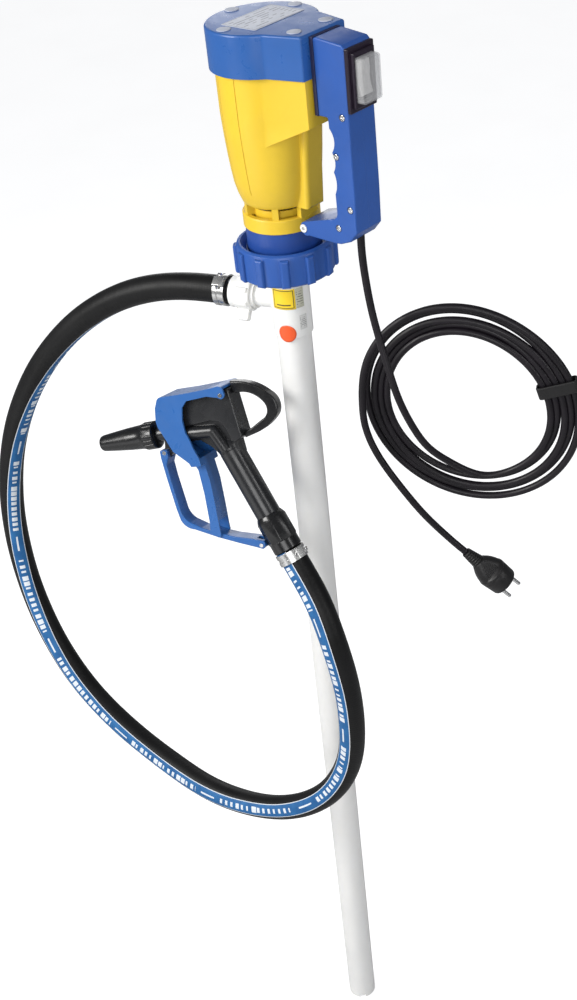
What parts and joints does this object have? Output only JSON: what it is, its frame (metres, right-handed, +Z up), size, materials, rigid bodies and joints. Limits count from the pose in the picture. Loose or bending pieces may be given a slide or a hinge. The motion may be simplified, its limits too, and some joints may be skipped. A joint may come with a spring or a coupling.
{
  "type": "drum barrel pump",
  "caption": "Electric barrel pump: long white suction tube, yellow and blue motor with pistol handle and rocker switch, black hose with hand nozzle, coiled mains cord.",
  "frame": {"origin": "centre of the suction foot's lower face, on the pump tube's axis", "axes": "+Z up along the pump tube towards the motor, +X from the tube's axis towards the pistol handle, so the discharge leaves at 198 degrees round +Z from +X"},
  "size_m": [0.7517, 0.3495, 1.5609],
  "materials": {
    "tube_pp": "translucent natural polypropylene",
    "dark_plastic": "moulded black plastic, satin",
    "bush": "filled bearing plastic",
    "steel": "ground stainless steel",
    "bearing_steel": "polished bearing steel",
    "seal": "black elastomer",
    "gasket": "dark blue elastomer",
    "blue_plastic": "moulded blue plastic, fine texture",
    "yellow_plastic": "moulded golden yellow plastic",
    "grey_plastic": "light grey plastic",
    "hose_rubber": "smooth black hose cover",
    "cord_rubber": "black cord jacket",
    "lamination": "stacked electrical steel",
    "copper": "enamelled copper",
    "carbon": "carbon",
    "brass": "plated brass",
    "white_plastic": "white plastic",
    "switch_dark": "near black plastic",
    "cover_clear": "clear flexible switch cover",
    "nozzle_black": "black nozzle plastic"
  },
  "bodies": {
    "pump": {"suction_foot": "tube_pp", "outer_tube": "tube_pp", "shaft_guide_tube": "tube_pp", "guide_bushes": "bush", "pump_head": "tube_pp", "shaft_seal": "seal", "bearing_outer_rings": "bearing_steel", "bearing_balls": "bearing_steel", "hose_connector": "tube_pp", "union_gasket": "seal", "discharge_hose": "hose_rubber", "hose_clamps": "steel", "clamp_screws": "steel", "motor_neck": "blue_plastic", "motor_body": "yellow_plastic", "motor_cap": "blue_plastic", "cap_screw_plugs": "grey_plastic", "rating_plate": "grey_plastic", "stator_stack": "lamination", "field_coils": "copper", "brush_bridge": "dark_plastic", "brush_holders": "brass", "carbon_brushes": "carbon", "brush_springs": "steel", "handle_gasket": "gasket", "handle_left_half": "blue_plastic", "handle_right_half": "blue_plastic", "handle_screws": "steel", "arm_bush": "white_plastic", "switch_bezel": "switch_dark", "switch_body": "dark_plastic", "switch_cover": "cover_clear", "power_cord": "cord_rubber", "cord_tie": "seal", "plug_body": "cord_rubber", "plug_pins": "bearing_steel", "nozzle_body": "nozzle_black", "inlet_adaptor": "nozzle_black", "nozzle_spout": "nozzle_black", "nozzle_pins": "steel", "trigger_guard": "blue_plastic", "hanging_hook": "nozzle_black", "valve_spring": "steel"},
    "motor_rotor": {"armature_shaft": "steel", "armature_stack": "lamination", "armature_windings": "copper", "commutator": "copper", "cooling_fan": "dark_plastic", "motor_coupling": "dark_plastic", "motor_bearing_inner_rings": "bearing_steel"},
    "pump_rotor": {"drive_shaft": "steel", "impeller": "tube_pp", "pump_coupling": "dark_plastic", "pump_bearing_inner_ring": "bearing_steel"},
    "nut_carrier": {"nut_slip_ring": "white_plastic"},
    "nut": {"coupling_nut": "blue_plastic"},
    "wing_nut": {"union_wing_nut": "tube_pp"},
    "rocker": {"switch_rocker": "grey_plastic"},
    "lever": {"nozzle_lever": "blue_plastic"},
    "stem": {"valve_stem": "steel"}
  },
  "joints": [
    {"name": "motor_spin", "type": "hinge", "parent": "pump", "child": "motor_rotor", "pos_m": [0, 0, 1.4], "axis": [0, 0, 1], "continuous": true},
    {"name": "pump_spin", "type": "hinge", "parent": "pump", "child": "pump_rotor", "pos_m": [0, 0, 0.7], "axis": [0, 0, 1], "continuous": true},
    {"name": "nut_lift", "type": "slide", "parent": "pump", "child": "nut_carrier", "axis": [0, 0, 1], "range_m": [0, 0.01201]},
    {"name": "nut_turn", "type": "hinge", "parent": "nut_carrier", "child": "nut", "pos_m": [0, 0, 1.298], "axis": [0, 0, 1], "range_deg": [0, 1080]},
    {"name": "wing_nut_turn", "type": "hinge", "parent": "pump", "child": "wing_nut", "pos_m": [-0.05231, -0.017, 1.2418], "axis": [-0.9511, -0.309, 0], "range_deg": [0, 360]},
    {"name": "switch_rock", "type": "hinge", "parent": "pump", "child": "rocker", "pos_m": [0.1286, 0, 1.5185], "axis": [0, 1, 0], "range_deg": [0, 10]},
    {"name": "lever_pull", "type": "hinge", "parent": "pump", "child": "lever", "pos_m": [-0.05381, -0.06616, 1.13275], "axis": [0.3217, -0.903, 0.2847], "range_deg": [0, 7]},
    {"name": "valve_stroke", "type": "slide", "parent": "pump", "child": "stem", "axis": [0.2941, -0.1906, -0.9366], "range_m": [0, 0.00425], "deforming": ["valve_spring"]}
  ],
  "couplings": [
    {"joint": "pump_spin", "follows": "motor_spin", "ratio": 1},
    {"joint": "nut_lift", "follows": "nut_turn", "m_per_rad": 0.00063662},
    {"joint": "valve_stroke", "follows": "lever_pull", "m_per_rad": 0.0345}
  ]
}
